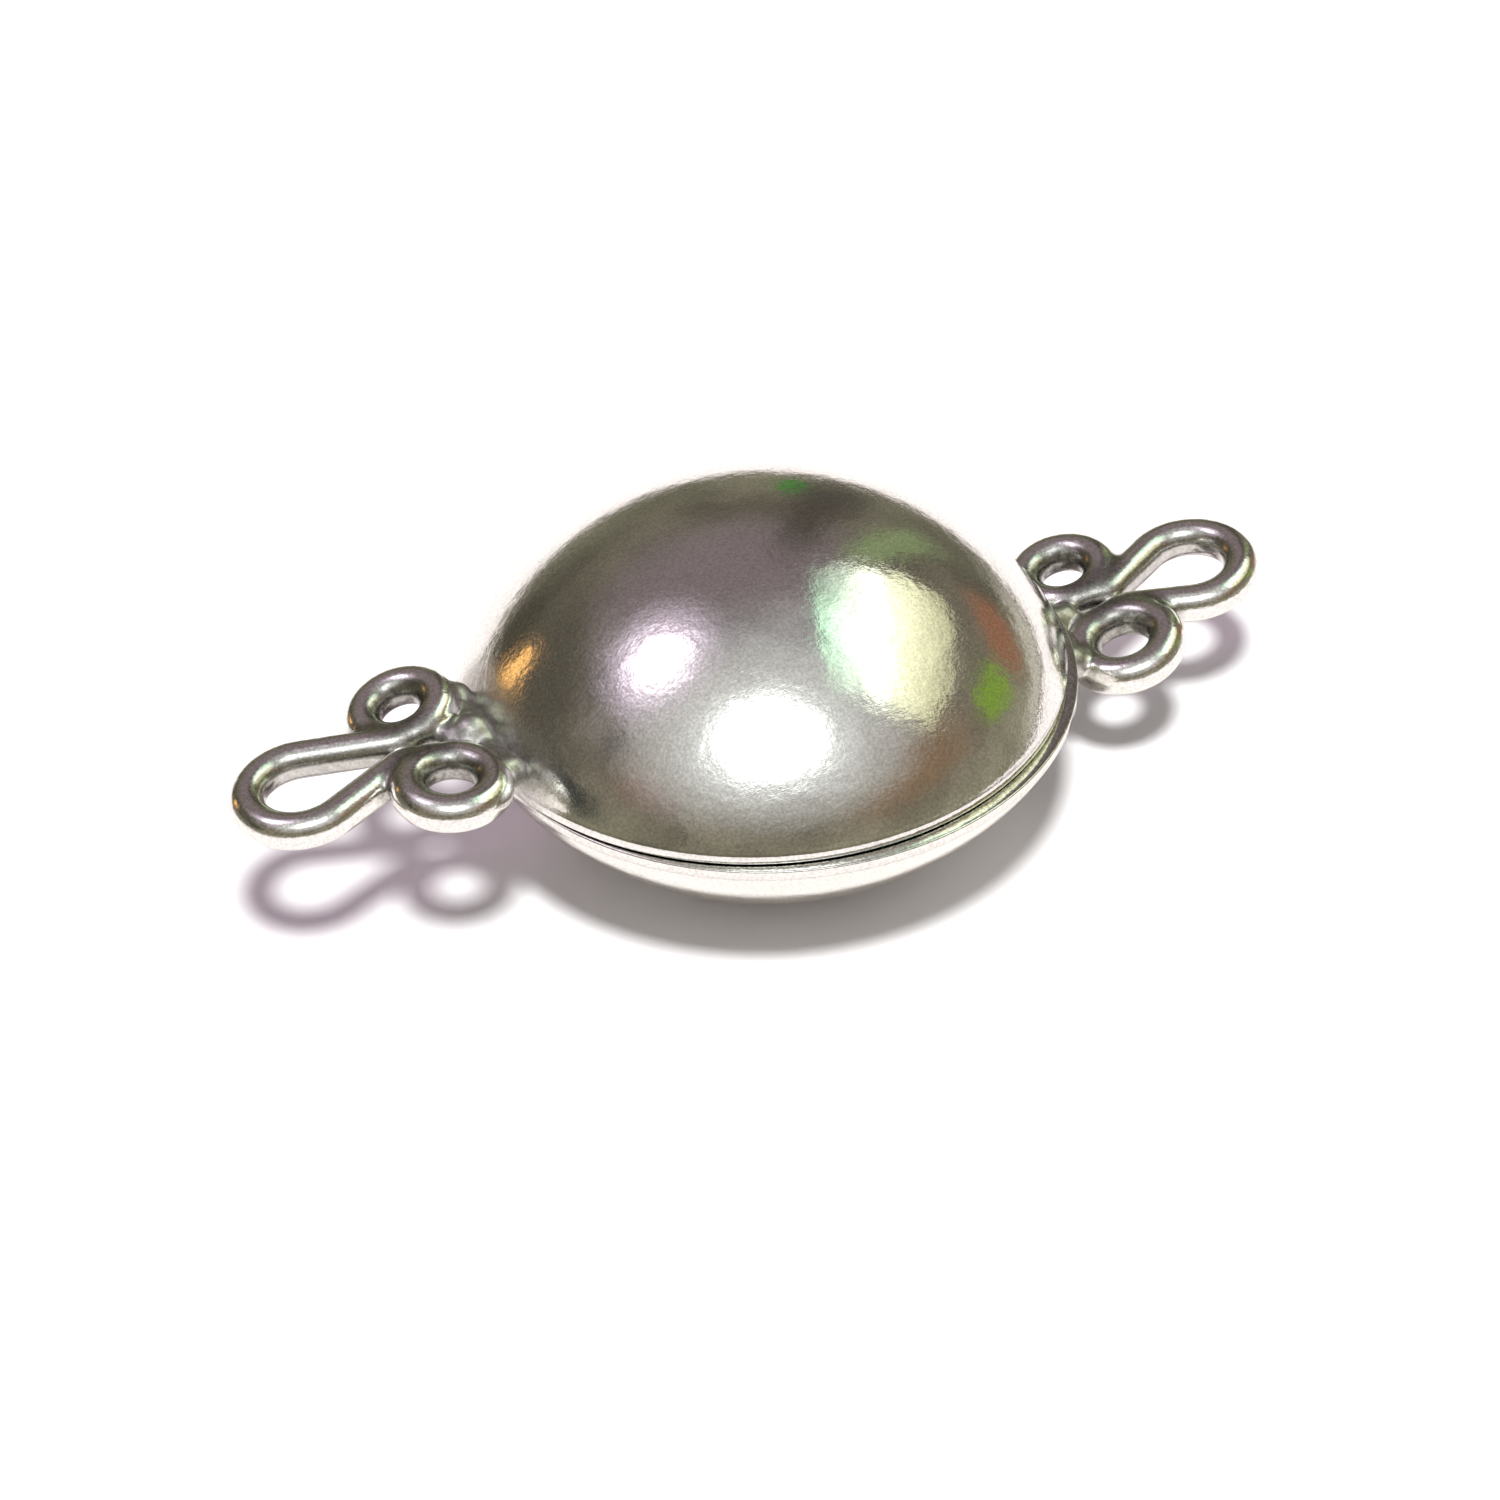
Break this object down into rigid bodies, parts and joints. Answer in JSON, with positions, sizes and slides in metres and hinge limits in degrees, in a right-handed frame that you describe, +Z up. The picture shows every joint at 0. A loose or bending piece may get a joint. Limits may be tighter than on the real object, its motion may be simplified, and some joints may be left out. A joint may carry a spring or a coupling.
{
  "type": "magnetic jewellery clasp",
  "caption": "Round magnetic jewellery clasp: two hollow domed silver halves meet face to face, each with a clover of soldered wire loops for strands.",
  "frame": {"origin": "in the plane of the small foot that the lower dome rests on, under the middle of the whole length", "axes": "+X along the clasp from the upper half's loops to the lower half's loops, +Z up through the seam from the lower half to the upper half"},
  "size_m": [0.0294, 0.0164, 0.0096],
  "materials": {
    "silver": "polished silver with fine wear scratches",
    "magnet": "nickel plate"
  },
  "bodies": {
    "lower_body": {"lower_half": "silver", "lower_magnet": "magnet"},
    "upper_body": {"upper_half": "silver", "upper_magnet": "magnet"}
  },
  "joints": [
    {"name": "clasp_open", "type": "slide", "parent": "lower_body", "child": "upper_body", "axis": [0, 0, 1], "range_m": [0, 0.012]}
  ]
}
